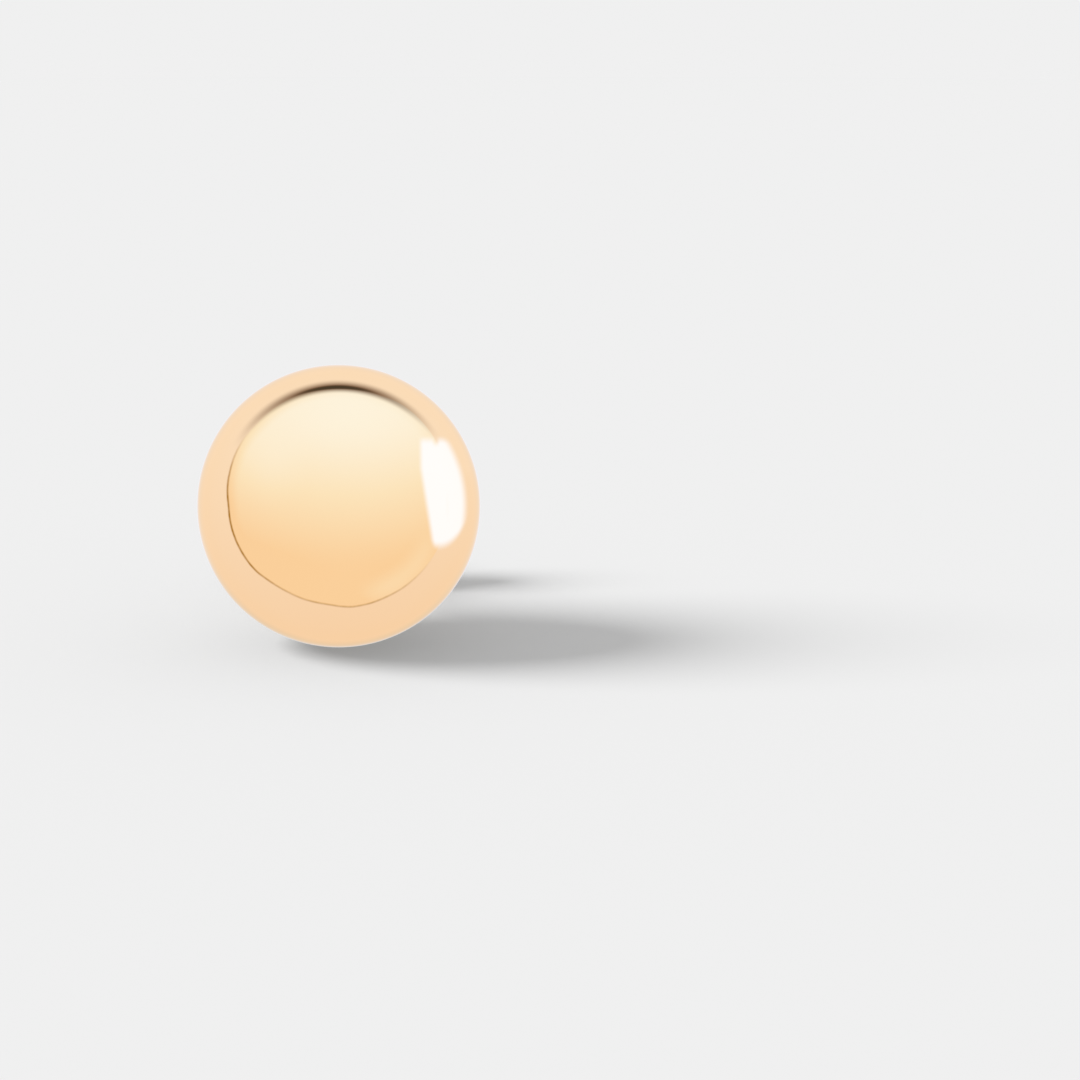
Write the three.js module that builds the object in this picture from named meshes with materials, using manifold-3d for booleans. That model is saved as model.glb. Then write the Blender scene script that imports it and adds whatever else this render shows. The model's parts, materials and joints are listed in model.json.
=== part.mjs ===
// A gold ball stud earring with its friction back, lying unworn on a flat surface.
// Millimetres, +Z up. The ball's front faces -Y, and the post runs back along +Y, sloping down.
// The origin is the middle of the bottom of the whole object's box.
import * as THREE from "three";
import { mergeVertices } from "three/addons/utils/BufferGeometryUtils.js";
import Module from "manifold-3d";

const wasm = await Module();
wasm.setup();

// Driving dimensions
const ballDiameter = 10;
const postDiameter = 0.9;
const postLength = 10;
const lobeRoom = 4.6;
const stripThickness = 0.35;

// The ball and its post, soldered together
const ballRadius = ballDiameter / 2;
const postRadius = postDiameter / 2;
const postEnd = ballRadius + postLength;
const solderRadius = 0.5;
const grooveRadius = 0.3;
const grooveDepth = 0.12;
const grooveFromEnd = 1.8;

// The friction back: a flat plate and two scrolls rolled from the strip's ends
const postClearance = 0.25;
const backPosition = ballRadius + lobeRoom;
const plateHalfWidth = 1.8;
const plateHalfHeight = 2.45;
const plateCorner = 1.15;
const stripWidth = 2.4;
const scrollRadius = 1.0;
const innerCurlRadius = 0.58;
const innerCurlEnd = THREE.MathUtils.degToRad(330);

// Fineness of the round surfaces
const turnSides = 40;
const ballRings = 24;
const filletSteps = 6;
const scrollSteps = 22;
const cornerSteps = 8;

// The stud rests on the ball and on the lower edge of the plate's rear face
const restRadius = ballRadius * Math.cos(Math.PI / turnSides);
const edgeAlong = backPosition + stripThickness;
const edgeReach = Math.hypot(edgeAlong, plateHalfHeight);
const restTilt = Math.asin(restRadius / edgeReach) - Math.atan2(plateHalfHeight, edgeAlong);

const gold = { color: "#ffd7a6", metalness: 1 };
const ballMaterial = new THREE.MeshStandardMaterial({ ...gold, roughness: 0.05 });
const backMaterial = new THREE.MeshStandardMaterial({ ...gold, roughness: 0.2 });

// Points of an arc in the plane of radius and length, both ends included
function arcPoints(centreRadius, centreAlong, radius, startAngle, endAngle, steps) {
  const points = [];
  for (let i = 0; i <= steps; i += 1) {
    const angle = startAngle + ((endAngle - startAngle) * i) / steps;
    const along = centreAlong + radius * Math.sin(angle);
    points.push(new THREE.Vector2(centreRadius + radius * Math.cos(angle), along));
  }
  return points;
}

// Half the outline of the ball, solder fillet and post, from the ball's front to the post's tip
function studProfile() {
  const filletCentreRadius = postRadius + solderRadius;
  const filletReach = ballRadius + solderRadius;
  const filletAlong = Math.sqrt(filletReach ** 2 - filletCentreRadius ** 2);
  const filletAngle = Math.atan2(filletAlong, filletCentreRadius);
  const grooveAlong = postEnd - grooveFromEnd;
  const grooveCentreRadius = postRadius + grooveRadius - grooveDepth;
  const grooveAngle = Math.acos((grooveRadius - grooveDepth) / grooveRadius);
  const ball = arcPoints(0, 0, ballRadius, -Math.PI / 2, filletAngle, ballRings);
  const fillet = arcPoints(
    filletCentreRadius,
    filletAlong,
    solderRadius,
    filletAngle + Math.PI,
    Math.PI,
    filletSteps,
  );
  const groove = arcPoints(
    grooveCentreRadius,
    grooveAlong,
    grooveRadius,
    Math.PI + grooveAngle,
    Math.PI - grooveAngle,
    filletSteps,
  );
  const tip = arcPoints(0, postEnd - postRadius, postRadius, 0, Math.PI / 2, filletSteps);
  ball[0].x = 0;
  tip[tip.length - 1].x = 0;
  return [...ball, ...fillet.slice(1), ...groove, ...tip];
}

// A flat of the turned shape, not one of its corners, faces straight down
function turned(profile) {
  return new THREE.LatheGeometry(profile, turnSides, Math.PI / turnSides);
}

function solidOf(geometry) {
  const bare = geometry.clone();
  bare.deleteAttribute("normal");
  bare.deleteAttribute("uv");
  const merged = mergeVertices(bare);
  const mesh = new wasm.Mesh({
    numProp: 3,
    vertProperties: Float32Array.from(merged.attributes.position.array),
    triVerts: Uint32Array.from(merged.index.array),
  });
  return new wasm.Manifold(mesh);
}

function geometryOf(solid) {
  const mesh = solid.getMesh();
  const geometry = new THREE.BufferGeometry();
  geometry.setAttribute("position", new THREE.BufferAttribute(mesh.vertProperties, 3));
  geometry.setIndex(new THREE.BufferAttribute(mesh.triVerts, 1));
  geometry.computeVertexNormals();
  return geometry;
}

// The strip's outline seen along its width: flat behind the lobe, and rolled into a scroll at each end
function stripOutline() {
  const half = stripThickness / 2;
  const innerSide = postRadius + postClearance;
  const scrollX = innerSide + half + scrollRadius;
  const curlX = innerSide + half + innerCurlRadius;
  const scrollY = half + scrollRadius;
  const start = -Math.PI / 2;
  const points = [];
  const addArc = (x, radius, from, to) => {
    for (let i = 0; i <= scrollSteps; i += 1) {
      const angle = from + ((to - from) * i) / scrollSteps;
      points.push([x + radius * Math.cos(angle), scrollY + radius * Math.sin(angle)]);
    }
  };
  addArc(scrollX, scrollRadius + half, start, Math.PI);
  addArc(curlX, innerCurlRadius + half, Math.PI, innerCurlEnd);
  addArc(curlX, innerCurlRadius - half, innerCurlEnd, Math.PI);
  addArc(scrollX, scrollRadius - half, Math.PI, start);
  const mirrored = points.map(([x, y]) => [-x, y]).reverse();
  return new THREE.Shape([...points, ...mirrored].map(([x, y]) => new THREE.Vector2(x, y)));
}

function plateOutline() {
  const shape = new THREE.Shape();
  const straightX = plateHalfWidth - plateCorner;
  const straightY = plateHalfHeight - plateCorner;
  const quarter = Math.PI / 2;
  shape.absarc(straightX, -straightY, plateCorner, -quarter, 0);
  shape.absarc(straightX, straightY, plateCorner, 0, quarter);
  shape.absarc(-straightX, straightY, plateCorner, quarter, 2 * quarter);
  shape.absarc(-straightX, -straightY, plateCorner, 2 * quarter, 3 * quarter);
  return shape;
}

function makeBallAndPost() {
  const mesh = new THREE.Mesh(turned(studProfile()), ballMaterial);
  mesh.name = "ball_and_post";
  return mesh;
}

// The plate's front face, which bears on the lobe, lies at zero along the post
function makeButterflyBack() {
  const strip = new THREE.ExtrudeGeometry(stripOutline(), { depth: stripWidth, bevelEnabled: false });
  strip.translate(0, 0, -stripWidth / 2);
  const plate = new THREE.ExtrudeGeometry(plateOutline(), {
    depth: stripThickness,
    bevelEnabled: false,
    curveSegments: cornerSteps,
  });
  plate.rotateX(-Math.PI / 2);
  const holeRadius = postRadius + postClearance;
  const drillLength = 4 * stripThickness;
  const hole = new THREE.CylinderGeometry(holeRadius, holeRadius, drillLength, turnSides / 2);
  const solid = solidOf(strip).add(solidOf(plate)).subtract(solidOf(hole));
  const mesh = new THREE.Mesh(geometryOf(solid), backMaterial);
  mesh.name = "butterfly_back";
  mesh.position.y = backPosition;
  return mesh;
}

// Lays the stud down on its rest, with the bottom middle of its box at the origin
function layDown(...pieces) {
  const stud = new THREE.Group();
  stud.add(...pieces);
  stud.rotation.x = -restTilt;
  const bounds = new THREE.Box3().setFromObject(stud, true);
  const middle = bounds.getCenter(new THREE.Vector3());
  stud.position.set(-middle.x, -middle.y, -bounds.min.z);
  const earring = new THREE.Group();
  earring.add(stud);
  return earring;
}

export default layDown(makeBallAndPost(), makeButterflyBack());
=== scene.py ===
"""Looks of a gold ball stud earring with its friction back. Metres, +Z up, the ball's front faces -Y."""
import json
import math
from collections import namedtuple

import bmesh
import bpy
from mathutils import Matrix, Vector


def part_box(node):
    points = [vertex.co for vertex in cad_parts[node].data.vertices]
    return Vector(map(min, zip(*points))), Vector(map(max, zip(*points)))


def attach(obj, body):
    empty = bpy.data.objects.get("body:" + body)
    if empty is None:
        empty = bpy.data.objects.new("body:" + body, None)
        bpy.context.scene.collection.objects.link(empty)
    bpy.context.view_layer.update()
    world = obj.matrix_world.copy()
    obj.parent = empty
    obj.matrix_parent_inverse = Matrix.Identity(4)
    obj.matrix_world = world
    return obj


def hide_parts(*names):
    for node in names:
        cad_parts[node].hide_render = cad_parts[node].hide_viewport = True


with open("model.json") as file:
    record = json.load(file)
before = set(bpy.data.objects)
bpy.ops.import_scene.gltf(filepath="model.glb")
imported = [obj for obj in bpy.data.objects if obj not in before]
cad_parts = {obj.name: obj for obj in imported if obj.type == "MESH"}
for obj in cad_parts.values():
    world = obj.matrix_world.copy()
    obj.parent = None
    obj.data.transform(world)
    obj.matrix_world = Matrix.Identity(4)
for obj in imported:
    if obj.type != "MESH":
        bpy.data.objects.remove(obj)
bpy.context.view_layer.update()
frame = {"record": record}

# The stud, in metres
BALL_RADIUS = 0.005
POST_RADIUS = 0.00045
POST_LENGTH = 0.010
SOLDER_RADIUS = 0.0005
GROOVE_RADIUS = 0.0003
GROOVE_DEPTH = 0.00012
GROOVE_FROM_END = 0.0018

# The friction back, rolled from one strip
STRIP_THICKNESS = 0.00033
PLATE_HALF_WIDTH = 0.0018
PLATE_HALF_HEIGHT = 0.00245
STRIP_HALF_WIDTH = 0.0012
STRIP_END_HALF_WIDTH = 0.00105
STRIP_FILLET = 0.00016
PLATE_CORNER = PLATE_HALF_HEIGHT - STRIP_HALF_WIDTH - STRIP_FILLET
SCROLL_RADIUS = 0.00108
INNER_CURL_RADIUS = 0.00060
INNER_CURL_END = math.radians(335)
SCROLL_GAP = 0.00003
HOLE_RADIUS = 0.00058
FUNNEL_DEPTH = 0.00016
FUNNEL_REACH = 0.00045
EDGE_ROUND = 0.00006

# Fineness of the meshes
TURN_SIDES = 192
BALL_STEPS = 150
SOLDER_STEPS = 14
SHAFT_STEPS = 12
GROOVE_STEPS = 10
TIP_STEPS = 12
PLATE_SIDE_STEPS = 12
PLATE_CORNER_STEPS = 12
PLATE_END_STEPS = 6
FILLET_STEPS = 3
SCROLL_STEPS = 36
CURL_STEPS = 18
ROUNDING_STEPS = 3
PLATE_RINGS = (0.0, 0.07, 0.14, 0.22, 0.32, 0.45, 0.62, 0.8, 1.0)
SHARP_ANGLE = math.radians(50)

# The photograph, in pixels of its 1080 by 1080 frame
FRAME_PX = 1080
BALL_X_PX = 339.1
BALL_Y_PX = 506.0
BALL_RADIUS_PX = 141.4

# The camera
CAMERA_ELEVATION = math.radians(11)
LENS_MM = 100
SENSOR_MM = 36
FOCAL_PX = FRAME_PX * LENS_MM / SENSOR_MM
CAMERA_DISTANCE = BALL_RADIUS / math.sin(math.atan(BALL_RADIUS_PX / FOCAL_PX))
RIGHT = Vector((1, 0, 0))
TO_CAMERA = Vector((0, -math.cos(CAMERA_ELEVATION), math.sin(CAMERA_ELEVATION)))
UP = TO_CAMERA.cross(RIGHT)
METRES_PER_PX = CAMERA_DISTANCE / FOCAL_PX

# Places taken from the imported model
PLATE_MOUNT = frame["record"]["mounts"][0]
POST_AXIS = -Vector(PLATE_MOUNT["axis"]).normalized()
BALL_LOW, BALL_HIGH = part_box("ball_and_post")
BALL_CENTRE = (BALL_LOW + BALL_HIGH) / 2
BALL_CENTRE.y = BALL_LOW.y + BALL_RADIUS
REST_TILT = math.asin(-POST_AXIS.z)
STUD_PLACE = Matrix.Translation(BALL_CENTRE) @ Matrix.Rotation(-REST_TILT, 4, "X")
BACK_ALONG = (Vector(PLATE_MOUNT["pos_m"]) - BALL_CENTRE).dot(POST_AXIS)

# The camera's place, beside the ball because the ball stands left of the frame's middle
SIDEWAYS = RIGHT * (FRAME_PX / 2 - BALL_X_PX) + UP * (BALL_Y_PX - FRAME_PX / 2)
CAMERA_PLACE = BALL_CENTRE + TO_CAMERA * CAMERA_DISTANCE + SIDEWAYS * METRES_PER_PX
FRONT = (CAMERA_PLACE - BALL_CENTRE).normalized()
FRONT_RIGHT = Vector((0, 0, 1)).cross(FRONT).normalized()
FRONT_UP = FRONT.cross(FRONT_RIGHT)

# The gold, as linear colours
GOLD = (0.96, 0.63, 0.33, 1.0)
GOLD_WORN = (0.97, 0.67, 0.38, 1.0)
GOLD_RIM = (1.0, 0.87, 0.70, 1.0)

# The polished ball: how dense its marks are per metre, their height in metres, and its roughness
WAVES = 420.0
WAVE_HEIGHT = 1.5e-6
HAIRLINES = 900.0
HAIRLINE_SQUEEZE = 14.0
HAIRLINE_ROUGHNESS = 0.015
BALL_ROUGHNESS = 0.02
TONES = 260.0
TONE_SHARE = 0.12

# The drawn post, whose finish takes over within the solder
POLISH_END = BALL_RADIUS - 0.0001
DRAWN_START = BALL_RADIUS + SOLDER_RADIUS
DRAWN_LINES = 9000.0
DRAWN_STRETCH = 0.03
DRAWN_HEIGHT = 4e-6
DRAWN_ROUGHNESS = 0.12
POST_ROUGHNESS = 0.16

# The rolled strip
ROLLED_LINES = 12000.0
ROLLED_STRETCH = 0.04
ROLLED_HEIGHT = 2.5e-6
ROLLED_ROUGHNESS = 0.16
PEEL = 2600.0
PEEL_HEIGHT = 3e-6
RUBBED_PLACES = 700.0
RUBBED_SMOOTHNESS = 0.06
RUBBED_TONE = 0.6
STRIP_ROUGHNESS = 0.2

# The room round the ball. Its places are drawn as they show in the ball from the front, in shares of the
# ball's radius: u to the right and v up. Each one is a fixed direction in the room.
NEARNESS = BALL_RADIUS / (2 * CAMERA_DISTANCE)
BOARD_CENTRE = (0.0, 0.062)
BOARD_RADIUS = 0.776
ARCH_CENTRE = (0.001, 0.0)
ARCH_RADIUS = 0.839
ARCH_INSIDE = 0.046
ARCH_OUTSIDE = 0.060
ARCH_FALLOFF = 1.45
ARCH_NARROWEST = 0.75
ARCH_DARK_FROM = 0.75
ARCH_DARKNESS = 0.96
BOARD_SOFTNESS = 0.004
WALL_BOTTOM = -1.15
WALL_TOP = 0.75
WALL_LIFT = 0.25
BEHIND_STARTS = 0.95
BEHIND_BOTTOM = -0.9
BEHIND_TOP = -0.2

# The thin line along the board's edge
LINE_WIDTH = 0.012
LEFT_STRENGTH = 0.9
LOWER_STRENGTH = 0.48
LINE_UNEVENNESS = 0.9

# The light on the board, as shares of the way from its low to its high colour
RISE_START = -0.4
RISE_LENGTH = 0.95
FALLOFF_MIDDLE = 0.08
FALLOFF = 0.35
GLOW_CENTRE = (-0.5, 0.27)
GLOW_RADIUS = 0.34
GLOW = 0.1
GLEAM = 0.3
GLEAM_DEPTH = 0.2
GLEAM_FULL_DEPTH = 0.03
EDGE_SHADE = 0.1
CORNER_SHADE = 0.2
SHADE_DEPTH = 0.09

# Directions from the middle and how far they spread, in degrees anticlockwise from the right
GLEAM_SIDE = (313, 34)
SHADED_CORNER = (140, 60)
BRIGHT_WALL = (30, 22)
LEFT_LINE = (190, 52)
LOWER_LINE = (272, 62)
ARCH_TOP = 91

# Fine waves of the board's edge and of the line along it, and how far the edge sways
COARSE_WAVES = 8.0
COARSE_SWAY = 0.005
FINE_WAVES = 50.0
FINE_SWAY = 0.001
LINE_WAVES = 22.0

# The window's sides, its lean, its rounded bottom, the notch in its top and its faint streak
WINDOW_LEFT = 0.583
WINDOW_RIGHT = 0.889
WINDOW_TOP = 0.462
WINDOW_BOTTOM = -0.292
WINDOW_LEAN = 0.145
LEAN_START = 0.26
BOTTOM_MIDDLE = 0.705
BOTTOM_CURVE = 4.5
NOTCH_PLACE = 0.69
NOTCH_WIDTH = 0.035
NOTCH_START = 0.40
NOTCH_END = 0.46
STREAK_PLACE = (0.767, -0.01)
STREAK_SIZE = (0.02, 0.14)
NOTCH_STRENGTH = 0.8
STREAK_STRENGTH = 0.05
LEFT_SOFTNESS = 0.024
TOP_SOFTNESS = 0.036
BOTTOM_SOFTNESS = 0.040
RIGHT_OUTER_SOFTNESS = 0.034
RIGHT_INNER_SOFTNESS = 0.030

# Light colours in the room, linear
BOARD_LOW = (1.0, 0.99, 0.98, 1.0)
BOARD_MIDDLE = (1.015, 1.22, 1.48, 1.0)
BOARD_HIGH = (1.03, 1.41, 2.12, 1.0)
WALL_LOW = (0.97, 1.0, 1.15, 1.0)
WALL_HIGH = (1.0, 1.14, 1.47, 1.0)
WALL_BEHIND_LOW = (0.83, 0.89, 0.97, 1.0)
WALL_BEHIND_HIGH = (0.93, 1.05, 1.28, 1.0)
WINDOW_LIGHT = (1.06, 1.55, 2.85, 1.0)
EDGE_BROWN = (0.40, 0.25, 0.0, 1.0)
ARCH_BROWN = (0.13, 0.06, 0.01, 1.0)
DARK = (0.065, 0.07, 0.07, 1.0)

# Light that only the floor gets: plain grey, and a bluish one by way of the gold, so that it arrives grey
AMBIENT = 0.6
FLOOR_GLOW = (0.54, 0.81, 1.5, 1.0)

# Where the board's edge lies further out or in: direction and spread in degrees, and how far out
Bulge = namedtuple("Bulge", "direction spread out")
BOARD_BULGES = (
    Bulge(45, 26, 0.018),
    Bulge(158, 25, 0.014),
    Bulge(200, 25, 0.011),
    Bulge(248, 30, -0.015),
    Bulge(288, 26, 0.006),
    Bulge(332, 34, 0.012),
)

# The pale floor, which fades into the backdrop
BACKDROP = 0.87
FLOOR_GREY = 0.8
FLOOR_RADIUS = 0.9
FADE_START = 0.15
FADE_END = 0.7

# The soft light, as strong as brings the floor to the backdrop's brightness
SUN_FROM = Vector((-0.80, -0.06, 0.56)).normalized()
SUN_ANGLE = math.radians(34)
SUN_STRENGTH = (BACKDROP / FLOOR_GREY - AMBIENT) * math.pi / SUN_FROM.z


class Field:
    """A number that varies over a shader. Sums and products of fields are Math nodes in its tree."""

    def __init__(self, tree, socket):
        self.tree = tree
        self.socket = socket

    def math(self, operation, *others):
        node = self.tree.nodes.new("ShaderNodeMath")
        node.operation = operation
        for i, value in enumerate((self, *others)):
            plug(self.tree, node.inputs[i], value)
        return Field(self.tree, node.outputs[0])

    def __add__(self, other):
        return self.math("ADD", other)

    def __sub__(self, other):
        return self.math("SUBTRACT", other)

    def __mul__(self, other):
        return self.math("MULTIPLY", other)

    def __truediv__(self, other):
        return self.math("DIVIDE", other)

    def __neg__(self):
        return self.math("MULTIPLY", -1.0)

    def square(self):
        return self.math("MULTIPLY", self)

    def root(self):
        return self.math("SQRT")

    def least(self, other):
        return self.math("MINIMUM", other)

    def most(self, other):
        return self.math("MAXIMUM", other)

    def step(self, start, end):
        """0 before start and 1 after end, with a smooth rise between them; end may be the lower one."""
        node = self.tree.nodes.new("ShaderNodeMapRange")
        node.interpolation_type = "SMOOTHSTEP"
        plug(self.tree, node.inputs["Value"], self)
        low, high = (start, end) if start < end else (end, start)
        node.inputs["From Min"].default_value = low
        node.inputs["From Max"].default_value = high
        node.inputs["To Min"].default_value = 0.0 if start < end else 1.0
        node.inputs["To Max"].default_value = 1.0 if start < end else 0.0
        return Field(self.tree, node.outputs["Result"])

    def bell(self, width):
        """1 where this field is zero, falling smoothly to 0 at width to either side."""
        return self.math("ABSOLUTE").step(width, 0.0)


def plug(tree, socket, value):
    """Links a field or a socket to an input, or sets the input to a plain value."""
    if isinstance(value, Field):
        tree.links.new(value.socket, socket)
    elif isinstance(value, bpy.types.NodeSocket):
        tree.links.new(value, socket)
    else:
        socket.default_value = value


def vector_math(tree, operation, first, second=None):
    node = tree.nodes.new("ShaderNodeVectorMath")
    node.operation = operation
    plug(tree, node.inputs[0], first)
    if second is not None:
        plug(tree, node.inputs[1], second)
    gives_number = operation in ("DOT_PRODUCT", "LENGTH")
    return node.outputs["Value" if gives_number else "Vector"]


def blend_colours(tree, share, first, second):
    """The first colour where share is 0 and the second where it is 1."""
    node = tree.nodes.new("ShaderNodeMix")
    node.data_type = "RGBA"
    colours = [s for s in node.inputs if s.type == "RGBA"]
    plug(tree, node.inputs["Factor"], share)
    plug(tree, colours[0], first)
    plug(tree, colours[1], second)
    return next(s for s in node.outputs if s.type == "RGBA")


def grey(level):
    return (level, level, level, 1.0)


def noise(tree, coordinates, scale, detail=2.0, stretch=(1.0, 1.0, 1.0)):
    """Smooth noise about 0, from roughly -0.5 to 0.5."""
    mapping = tree.nodes.new("ShaderNodeMapping")
    plug(tree, mapping.inputs["Vector"], coordinates)
    mapping.inputs["Scale"].default_value = [scale * s for s in stretch]
    texture = tree.nodes.new("ShaderNodeTexNoise")
    plug(tree, texture.inputs["Vector"], mapping.outputs["Vector"])
    texture.inputs["Scale"].default_value = 1.0
    texture.inputs["Detail"].default_value = detail
    return Field(tree, texture.outputs["Fac"]) - 0.5


def new_material(name):
    """A material and its empty tree."""
    material = bpy.data.materials.new(name)
    material.use_nodes = True
    tree = material.node_tree
    tree.nodes.clear()
    return material, tree


def stud_coordinates(tree):
    """Places in metres from the ball's centre, with Y along the post."""
    place = tree.nodes.new("ShaderNodeTexCoord").outputs["Object"]
    turn = tree.nodes.new("ShaderNodeVectorRotate")
    turn.rotation_type = "X_AXIS"
    turn.inputs["Angle"].default_value = REST_TILT
    plug(tree, turn.inputs["Vector"], vector_math(tree, "SUBTRACT", place, BALL_CENTRE))
    return turn.outputs["Vector"]


def finish_metal(tree, colour, roughness, height):
    """Ends a metal's tree: colour and roughness may vary, and height is in metres."""
    shader = tree.nodes.new("ShaderNodeBsdfPrincipled")
    output = tree.nodes.new("ShaderNodeOutputMaterial")
    bump = tree.nodes.new("ShaderNodeBump")
    bump.inputs["Strength"].default_value = 1.0
    bump.inputs["Distance"].default_value = 1.0
    plug(tree, bump.inputs["Height"], height)
    plug(tree, shader.inputs["Base Color"], colour)
    plug(tree, shader.inputs["Roughness"], roughness)
    shader.inputs["Metallic"].default_value = 1.0
    shader.inputs["Specular Tint"].default_value = GOLD_RIM
    tree.links.new(bump.outputs["Normal"], shader.inputs["Normal"])
    tree.links.new(shader.outputs["BSDF"], output.inputs["Surface"])


def polished_gold():
    """Mirror polish with faint waves and hairlines on the ball, and drawn lines along the post."""
    material, tree = new_material("polished_gold")
    place = stud_coordinates(tree)
    axes = tree.nodes.new("ShaderNodeSeparateXYZ")
    tree.links.new(place, axes.inputs["Vector"])
    along = Field(tree, axes.outputs["Y"])
    on_post = along.step(POLISH_END, DRAWN_START)
    waves = noise(tree, place, WAVES, detail=1.0)
    hairlines = noise(tree, place, HAIRLINES, detail=3.0, stretch=(1.0, HAIRLINE_SQUEEZE, 1.0))
    drawn = noise(tree, place, DRAWN_LINES, detail=2.0, stretch=(1.0, DRAWN_STRETCH, 1.0))
    hair_mask = hairlines.step(0.12, 0.2)
    ball_roughness = hair_mask * HAIRLINE_ROUGHNESS + BALL_ROUGHNESS
    post_roughness = drawn * DRAWN_ROUGHNESS + POST_ROUGHNESS
    roughness = ball_roughness + on_post * (post_roughness - ball_roughness)
    ball_height = waves * WAVE_HEIGHT
    post_height = drawn * DRAWN_HEIGHT
    height = ball_height + on_post * (post_height - ball_height)
    tone = noise(tree, place, TONES, detail=2.0).step(-0.25, 0.25)
    colour = blend_colours(tree, tone * TONE_SHARE, GOLD, GOLD_WORN)
    finish_metal(tree, colour, roughness, height)
    return material


def formed_gold():
    """Rolled strip: fine lines along its length, a little orange peel and paler rubbed places."""
    material, tree = new_material("formed_gold")
    place = stud_coordinates(tree)
    stretch = (ROLLED_STRETCH, ROLLED_STRETCH, 1.0)
    lines = noise(tree, place, ROLLED_LINES, detail=3.0, stretch=stretch)
    peel = noise(tree, place, PEEL, detail=2.0)
    rubbed = noise(tree, place, RUBBED_PLACES, detail=3.0).step(0.0, 0.25)
    roughness = lines * ROLLED_ROUGHNESS - rubbed * RUBBED_SMOOTHNESS + STRIP_ROUGHNESS
    height = lines * ROLLED_HEIGHT + peel * PEEL_HEIGHT
    colour = blend_colours(tree, rubbed * RUBBED_TONE, GOLD, GOLD_WORN)
    finish_metal(tree, colour, roughness, height)
    return material


def mesh_piece(name, points, faces, material):
    """A smooth-shaded object made of points and faces."""
    mesh = bpy.data.meshes.new(name)
    mesh.from_pydata(points, [], faces)
    mesh.materials.append(material)
    mesh.polygons.foreach_set("use_smooth", [True] * len(mesh.polygons))
    mesh.update()
    piece = bpy.data.objects.new(name, mesh)
    bpy.context.scene.collection.objects.link(piece)
    return piece


def on_circle(centre, radius, angle):
    return centre[0] + radius * math.cos(angle), centre[1] + radius * math.sin(angle)


def arc(centre, radius, start, end, steps):
    """Points of an arc, both ends included, as (across, along) pairs."""
    return [on_circle(centre, radius, start + (end - start) * i / steps) for i in range(steps + 1)]


def stud_profile():
    """Half the outline of ball, solder and post, as (radius, along) pairs between its ends on the axis."""
    solder_across = POST_RADIUS + SOLDER_RADIUS
    solder_along = math.sqrt((BALL_RADIUS + SOLDER_RADIUS) ** 2 - solder_across ** 2)
    meets_ball = math.atan2(solder_along, solder_across)
    post_end = BALL_RADIUS + POST_LENGTH
    groove_angle = math.acos((GROOVE_RADIUS - GROOVE_DEPTH) / GROOVE_RADIUS)
    groove_centre = (POST_RADIUS + GROOVE_RADIUS - GROOVE_DEPTH, post_end - GROOVE_FROM_END)
    ball = arc((0, 0), BALL_RADIUS, -math.pi / 2, meets_ball, BALL_STEPS)
    solder_middle = (solder_across, solder_along)
    solder = arc(solder_middle, SOLDER_RADIUS, meets_ball + math.pi, math.pi, SOLDER_STEPS)
    groove_ends = (math.pi + groove_angle, math.pi - groove_angle)
    groove = arc(groove_centre, GROOVE_RADIUS, *groove_ends, GROOVE_STEPS)
    tip = arc((0, post_end - POST_RADIUS), POST_RADIUS, 0, math.pi / 2, TIP_STEPS)
    shaft_start, shaft_end = solder[-1][1], groove[0][1]
    shaft = []
    for i in range(1, SHAFT_STEPS):
        shaft.append((POST_RADIUS, shaft_start + (shaft_end - shaft_start) * i / SHAFT_STEPS))
    return ball[1:] + solder[1:] + shaft + groove + tip[:-1]


def make_stud(material):
    """The ball, solder and post as one mesh, turned about +Y and then laid down in its place."""
    sides = TURN_SIDES
    profile = stud_profile()
    points = [(0.0, -BALL_RADIUS, 0.0)]
    for radius, along in profile:
        for i in range(sides):
            turn = 2 * math.pi * i / sides
            points.append((radius * math.sin(turn), along, radius * math.cos(turn)))
    points.append((0.0, BALL_RADIUS + POST_LENGTH, 0.0))
    last = len(points) - 1
    faces = []
    for i in range(sides):
        j = (i + 1) % sides
        faces.append((0, 1 + j, 1 + i))
        for ring in range(len(profile) - 1):
            low, high = 1 + ring * sides, 1 + (ring + 1) * sides
            faces.append((low + i, low + j, high + j, high + i))
        top = 1 + (len(profile) - 1) * sides
        faces.append((top + i, top + j, last))
    stud = mesh_piece("polished_ball_stud", points, faces, material)
    stud.data.transform(STUD_PLACE)
    return stud


def plate_outline():
    """The plate's edge as (x, z) points, anticlockwise from the lower end of its right side."""
    straight_x = PLATE_HALF_WIDTH - PLATE_CORNER
    straight_z = PLATE_HALF_HEIGHT - PLATE_CORNER
    rises = [2 * i / PLATE_SIDE_STEPS - 1 for i in range(PLATE_SIDE_STEPS)]
    side = [(PLATE_HALF_WIDTH, straight_z * rise) for rise in rises]
    corner = arc((straight_x, straight_z), PLATE_CORNER, 0, math.pi / 2, PLATE_CORNER_STEPS)
    shares = [1 - 2 * i / PLATE_END_STEPS for i in range(1, PLATE_END_STEPS)]
    end = [(straight_x * share, PLATE_HALF_HEIGHT) for share in shares]
    half = side + corner + end + [(-x, z) for x, z in reversed(corner[1:])]
    return half + [(-x, -z) for x, z in half]


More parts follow.
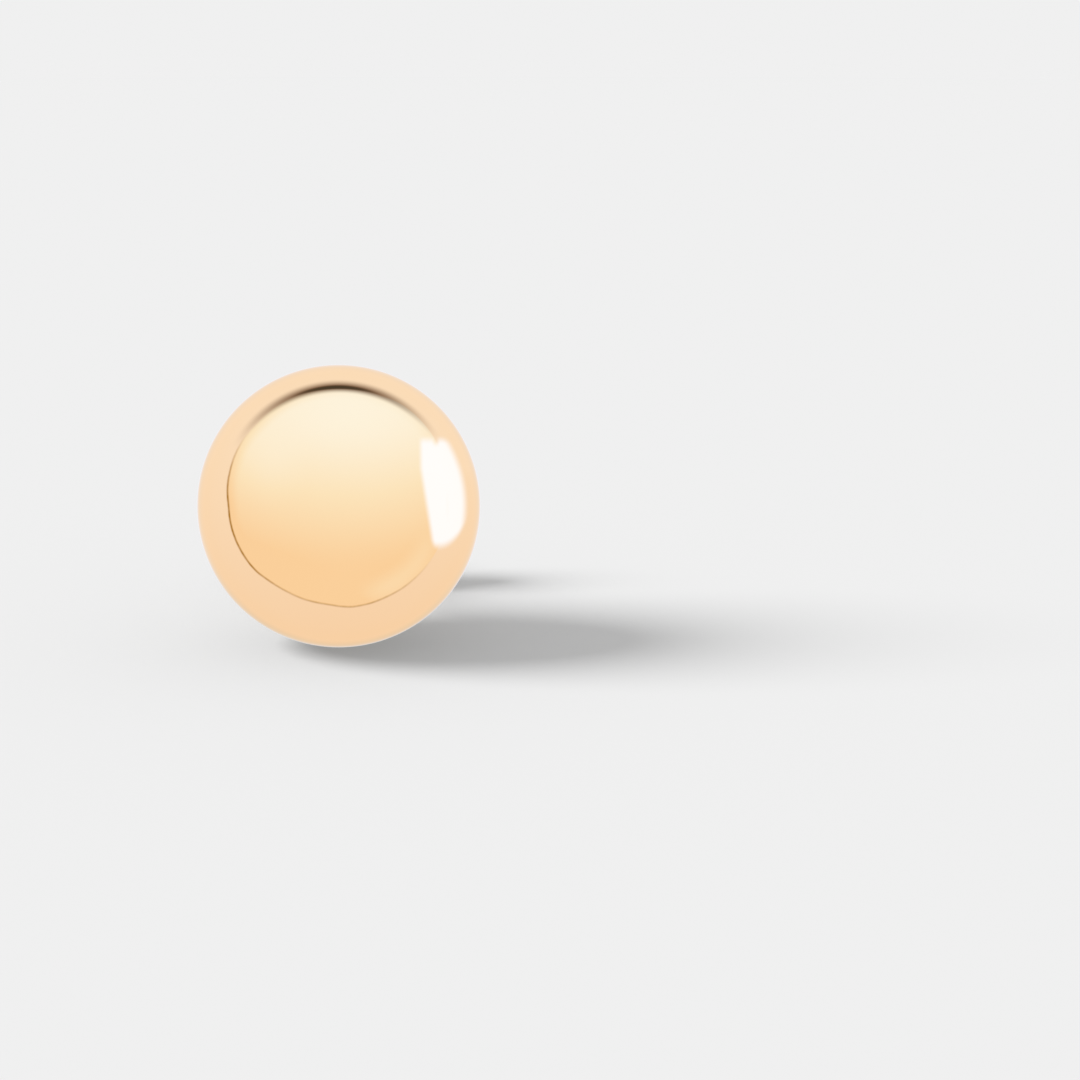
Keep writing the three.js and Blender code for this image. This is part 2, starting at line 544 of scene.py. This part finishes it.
def add_plate(sheet):
    """The plate around its funnelled hole. Returns its right and left side vertices, from low to high."""
    outline = plate_outline()
    rings = []
    for share in PLATE_RINGS:
        ring = []
        for x, z in outline:
            reach = math.hypot(x, z)
            distance = HOLE_RADIUS + (reach - HOLE_RADIUS) * share
            near = max(0.0, 1 - (distance - HOLE_RADIUS) / FUNNEL_REACH)
            depth = FUNNEL_DEPTH * near * near
            ring.append(sheet.verts.new((x / reach * distance, depth, z / reach * distance)))
        rings.append(ring)
    for inner, outer in zip(rings, rings[1:]):
        for i in range(len(outline)):
            j = (i + 1) % len(outline)
            sheet.faces.new((inner[i], outer[i], outer[j], inner[j]))
    half = len(outline) // 2
    right = rings[-1][: PLATE_SIDE_STEPS + 1]
    left = list(reversed(rings[-1][half : half + PLATE_SIDE_STEPS + 1]))
    return right, left


def scroll_line():
    """The strip's middle line beyond the plate's right side, as (x, along) points."""
    half = STRIP_THICKNESS / 2
    post_side = POST_RADIUS + SCROLL_GAP + half
    scroll_x = post_side + SCROLL_RADIUS
    curl_x = post_side + INNER_CURL_RADIUS
    middle = (scroll_x, SCROLL_RADIUS)
    leaves_plate = math.asin((PLATE_HALF_WIDTH - scroll_x) / SCROLL_RADIUS) - math.pi / 2
    lengths = [STRIP_FILLET * (i + 1) / FILLET_STEPS for i in range(FILLET_STEPS)]
    turns = [leaves_plate + length / SCROLL_RADIUS for length in lengths]
    beside_plate = [on_circle(middle, SCROLL_RADIUS, turn) for turn in turns]
    scroll = arc(middle, SCROLL_RADIUS, turns[-1], math.pi, SCROLL_STEPS)
    curl = arc((curl_x, SCROLL_RADIUS), INNER_CURL_RADIUS, math.pi, INNER_CURL_END, CURL_STEPS)
    return beside_plate + scroll[1:] + curl[1:]


def add_scroll(sheet, edge, side):
    """One rolled ear, from the plate's side vertices on; side is 1 for right and -1 for left."""
    line = scroll_line()
    widest = STRIP_HALF_WIDTH + STRIP_FILLET
    before = edge
    length = 0.0
    for n, (x, along) in enumerate(line):
        share = (n + 1) / len(line)
        length += math.hypot(x - abs(before[0].co.x), along - before[0].co.y)
        flare = max(0.0, 1 - length / STRIP_FILLET)
        half_width = STRIP_HALF_WIDTH + (STRIP_END_HALF_WIDTH - STRIP_HALF_WIDTH) * share
        half_width += STRIP_FILLET * flare * flare
        row = [sheet.verts.new((side * x, along, v.co.z * half_width / widest)) for v in edge]
        for i in range(len(row) - 1):
            corners = (before[i], row[i], row[i + 1], before[i + 1])
            sheet.faces.new(corners if side > 0 else tuple(reversed(corners)))
        before = row


def make_back(material):
    """The friction back: one sheet of plate and scrolls, thickened, its edges rounded, laid in place."""
    sheet = bmesh.new()
    right, left = add_plate(sheet)
    add_scroll(sheet, right, 1)
    add_scroll(sheet, left, -1)
    mesh = bpy.data.meshes.new("rolled_friction_back")
    bmesh.ops.recalc_face_normals(sheet, faces=sheet.faces)
    sheet.to_mesh(mesh)
    sheet.free()
    back = bpy.data.objects.new("rolled_friction_back", mesh)
    bpy.context.scene.collection.objects.link(back)
    thicken = back.modifiers.new("thickness", "SOLIDIFY")
    thicken.thickness = STRIP_THICKNESS
    thicken.offset = 0.0
    thicken.use_even_offset = True
    rounding = back.modifiers.new("rounded_edges", "BEVEL")
    rounding.width = EDGE_ROUND
    rounding.segments = ROUNDING_STEPS
    rounding.limit_method = "ANGLE"
    rounding.angle_limit = SHARP_ANGLE
    bpy.context.view_layer.update()
    shaped = back.evaluated_get(bpy.context.evaluated_depsgraph_get())
    final = bpy.data.meshes.new_from_object(shaped)
    final.name = "rolled_friction_back"
    back.modifiers.clear()
    back.data = final
    bpy.data.meshes.remove(mesh)
    final.polygons.foreach_set("use_smooth", [True] * len(final.polygons))
    final.materials.clear()
    final.materials.append(material)
    front = BACK_ALONG + STRIP_THICKNESS / 2
    final.transform(STUD_PLACE @ Matrix.Translation((0, front, 0)))
    return back


def make_camera():
    """The camera at the photograph's angle, with the ball where the photograph has it."""
    data = bpy.data.cameras.new("camera")
    data.lens = LENS_MM
    data.sensor_width = SENSOR_MM
    data.clip_start = 0.001
    data.clip_end = 5.0
    camera = bpy.data.objects.new("camera", data)
    camera.location = CAMERA_PLACE
    camera.rotation_euler = (-TO_CAMERA).to_track_quat("-Z", "Y").to_euler()
    bpy.context.scene.collection.objects.link(camera)
    bpy.context.scene.camera = camera


class Room:
    """The places u and v in a shader tree, and the shapes that are drawn with them."""

    def __init__(self, tree):
        self.tree = tree
        direction = tree.nodes.new("ShaderNodeTexCoord").outputs["Generated"]
        self.half_way = vector_math(tree, "NORMALIZE", vector_math(tree, "ADD", direction, FRONT))
        closeness = Field(tree, vector_math(tree, "DOT_PRODUCT", self.half_way, FRONT)) * NEARNESS + 1.0
        self.u = Field(tree, vector_math(tree, "DOT_PRODUCT", self.half_way, FRONT_RIGHT)) * closeness
        self.v = Field(tree, vector_math(tree, "DOT_PRODUCT", self.half_way, FRONT_UP)) * closeness
        self.reach = self.distance_to(0.0, 0.0)

    def distance_to(self, u, v):
        return ((self.u - u).square() + (self.v - v).square()).root()

    def cosine_from(self, degrees):
        """The cosine of the angle between this place and a direction, both seen from the middle."""
        angle = math.radians(degrees)
        return (self.u * math.cos(angle) + self.v * math.sin(angle)) / self.reach

    def toward(self, degrees, spread):
        """1 in a direction from the middle and 0 past its spread, in degrees."""
        return self.cosine_from(degrees).step(math.cos(math.radians(spread)), 1.0)

    def outside_board(self):
        """How far a place lies outside the board's edge, which is a little uneven."""
        outside = self.distance_to(*BOARD_CENTRE) - BOARD_RADIUS
        for bulge in BOARD_BULGES:
            outside = outside - self.toward(bulge.direction, bulge.spread) * bulge.out
        coarse = noise(self.tree, self.half_way, COARSE_WAVES, detail=1.0) * COARSE_SWAY
        fine = noise(self.tree, self.half_way, FINE_WAVES, detail=1.0) * FINE_SWAY
        return outside + coarse + fine

    def board_colour(self, outside):
        """Cream at the top and peach below, with a glow at the upper left and a gleam at the lower right."""
        rise = (self.v - RISE_START) / RISE_LENGTH
        rise = rise.math("SMOOTH_MIN", 1.0, 0.25).math("SMOOTH_MAX", 0.0, 0.2)
        falloff = (self.u - FALLOFF_MIDDLE).square() * FALLOFF
        glow = self.distance_to(*GLOW_CENTRE).step(GLOW_RADIUS, 0.0) * GLOW
        gleam = outside.step(-GLEAM_DEPTH, -GLEAM_FULL_DEPTH) * self.toward(*GLEAM_SIDE) * GLEAM
        shade = outside.step(-SHADE_DEPTH, 0.0) * (self.toward(*SHADED_CORNER) * CORNER_SHADE + EDGE_SHADE)
        height = rise - falloff + glow + gleam - shade
        lower = blend_colours(self.tree, height * 2.0, BOARD_LOW, BOARD_MIDDLE)
        return blend_colours(self.tree, height * 2.0 - 1.0, lower, BOARD_HIGH)

    def wall_colour(self):
        """The wall beside the board, and what lies behind the ball, which its rim mirrors."""
        height = self.v.step(WALL_BOTTOM, WALL_TOP) + self.toward(*BRIGHT_WALL) * WALL_LIFT
        wall = blend_colours(self.tree, height, WALL_LOW, WALL_HIGH)
        rise = self.v.step(BEHIND_BOTTOM, BEHIND_TOP)
        behind = blend_colours(self.tree, rise, WALL_BEHIND_LOW, WALL_BEHIND_HIGH)
        return blend_colours(self.tree, self.reach.step(BEHIND_STARTS, 1.0), wall, behind)

    def arch(self):
        """The soft gap between the top of the board and the wall: how brown it is, and how dark."""
        share = ((self.cosine_from(ARCH_TOP) - 0.5) * 2.0).most(0.0).math("POWER", ARCH_FALLOFF)
        narrowing = share * (1.0 - ARCH_NARROWEST) + ARCH_NARROWEST
        beside = (self.distance_to(*ARCH_CENTRE) - ARCH_RADIUS) / narrowing
        brown = beside.step(-ARCH_INSIDE, 0.0) * beside.step(ARCH_OUTSIDE, 0.0) * share
        return brown, brown.step(ARCH_DARK_FROM, 1.0) * ARCH_DARKNESS

    def edge_line(self, outside):
        """The thin shadow line along the rest of the board's edge, strongest at the left."""
        share = self.toward(*LEFT_LINE) * LEFT_STRENGTH + self.toward(*LOWER_LINE) * LOWER_STRENGTH
        uneven = noise(self.tree, self.half_way, LINE_WAVES, detail=2.0) * LINE_UNEVENNESS + 1.0
        return outside.bell(LINE_WIDTH) * share * uneven

    def window(self):
        """A tall leaning window with a notch in its top, a faint streak and a curved right side."""
        streak_u, streak_v = STREAK_PLACE
        streak_width, streak_height = STREAK_SIZE
        lean = (-self.v + LEAN_START).most(0.0) * WINDOW_LEAN
        left = (self.u - lean).step(WINDOW_LEFT - LEFT_SOFTNESS, WINDOW_LEFT + LEFT_SOFTNESS)
        right_end, right_start = WINDOW_RIGHT + RIGHT_OUTER_SOFTNESS, WINDOW_RIGHT - RIGHT_INNER_SOFTNESS
        right = self.reach.step(right_end, right_start)
        top = self.v.step(WINDOW_TOP + TOP_SOFTNESS, WINDOW_TOP - TOP_SOFTNESS)
        rounded = self.v - (self.u - BOTTOM_MIDDLE).square() * BOTTOM_CURVE
        bottom = rounded.step(WINDOW_BOTTOM - BOTTOM_SOFTNESS, WINDOW_BOTTOM + BOTTOM_SOFTNESS)
        notch = (self.u - NOTCH_PLACE).bell(NOTCH_WIDTH) * self.v.step(NOTCH_START, NOTCH_END)
        streak = (self.u - streak_u).bell(streak_width) * (self.v - streak_v).bell(streak_height)
        notch = notch * NOTCH_STRENGTH
        streak = streak * STREAK_STRENGTH
        return left * right * top * bottom * (-notch - streak + 1.0)


def make_studio():
    """The room that the gold mirrors, the even light that the floor gets, and the backdrop."""
    world = bpy.data.worlds.new("studio")
    bpy.context.scene.world = world
    world.use_nodes = True
    world.cycles.sampling_method = "NONE"
    tree = world.node_tree
    tree.nodes.clear()
    room = Room(tree)
    outside = room.outside_board()
    on_board = outside.step(BOARD_SOFTNESS, -BOARD_SOFTNESS)
    colour = blend_colours(tree, on_board, room.wall_colour(), room.board_colour(outside))
    colour = blend_colours(tree, room.edge_line(outside), colour, EDGE_BROWN)
    brown, dark = room.arch()
    colour = blend_colours(tree, brown, colour, ARCH_BROWN)
    colour = blend_colours(tree, dark, colour, DARK)
    colour = blend_colours(tree, room.window(), colour, WINDOW_LIGHT)

    ray = tree.nodes.new("ShaderNodeLightPath")
    after_floor = Field(tree, ray.outputs["Diffuse Depth"]).least(1.0)
    colour = blend_colours(tree, after_floor, colour, FLOOR_GLOW)
    light = blend_colours(tree, ray.outputs["Is Glossy Ray"], grey(AMBIENT), colour)
    seen = blend_colours(tree, ray.outputs["Is Camera Ray"], light, grey(BACKDROP))
    background = tree.nodes.new("ShaderNodeBackground")
    output = tree.nodes.new("ShaderNodeOutputWorld")
    tree.links.new(seen, background.inputs["Color"])
    tree.links.new(background.outputs["Background"], output.inputs["Surface"])


def make_floor():
    """A plain pale floor level with the bottom of the ball, which the gold doesn't mirror."""
    material, tree = new_material("pale_floor")
    place = tree.nodes.new("ShaderNodeTexCoord").outputs["Object"]
    distance = Field(tree, vector_math(tree, "LENGTH", place))
    diffuse = tree.nodes.new("ShaderNodeBsdfDiffuse")
    diffuse.inputs["Color"].default_value = grey(FLOOR_GREY)
    clear = tree.nodes.new("ShaderNodeBsdfTransparent")
    fade = tree.nodes.new("ShaderNodeMixShader")
    output = tree.nodes.new("ShaderNodeOutputMaterial")
    plug(tree, fade.inputs["Fac"], distance.step(FADE_START, FADE_END))
    tree.links.new(diffuse.outputs["BSDF"], fade.inputs[1])
    tree.links.new(clear.outputs["BSDF"], fade.inputs[2])
    tree.links.new(fade.outputs["Shader"], output.inputs["Surface"])
    floor_level = BALL_CENTRE.z - BALL_RADIUS
    signs = ((-1, -1), (1, -1), (1, 1), (-1, 1))
    corners = [(FLOOR_RADIUS * x, FLOOR_RADIUS * y, 0.0) for x, y in signs]
    floor = mesh_piece("floor", corners, [(0, 1, 2, 3)], material)
    floor.location = (BALL_CENTRE.x, BALL_CENTRE.y, floor_level)
    floor.visible_glossy = False


def make_sun():
    """One wide soft light from the upper left in front, for the shadow on the floor."""
    data = bpy.data.lights.new("soft_sun", "SUN")
    data.angle = SUN_ANGLE
    data.energy = SUN_STRENGTH
    sun = bpy.data.objects.new("soft_sun", data)
    sun.rotation_euler = (-SUN_FROM).to_track_quat("-Z", "Y").to_euler()
    sun.visible_glossy = False
    bpy.context.scene.collection.objects.link(sun)


def main():
    scene = bpy.context.scene
    scene.view_settings.view_transform = "Standard"
    stud = make_stud(polished_gold())
    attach(stud, "root")
    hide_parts("ball_and_post")
    back = make_back(formed_gold())
    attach(back, "root")
    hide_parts("butterfly_back")
    make_camera()
    make_studio()
    make_floor()
    make_sun()


main()
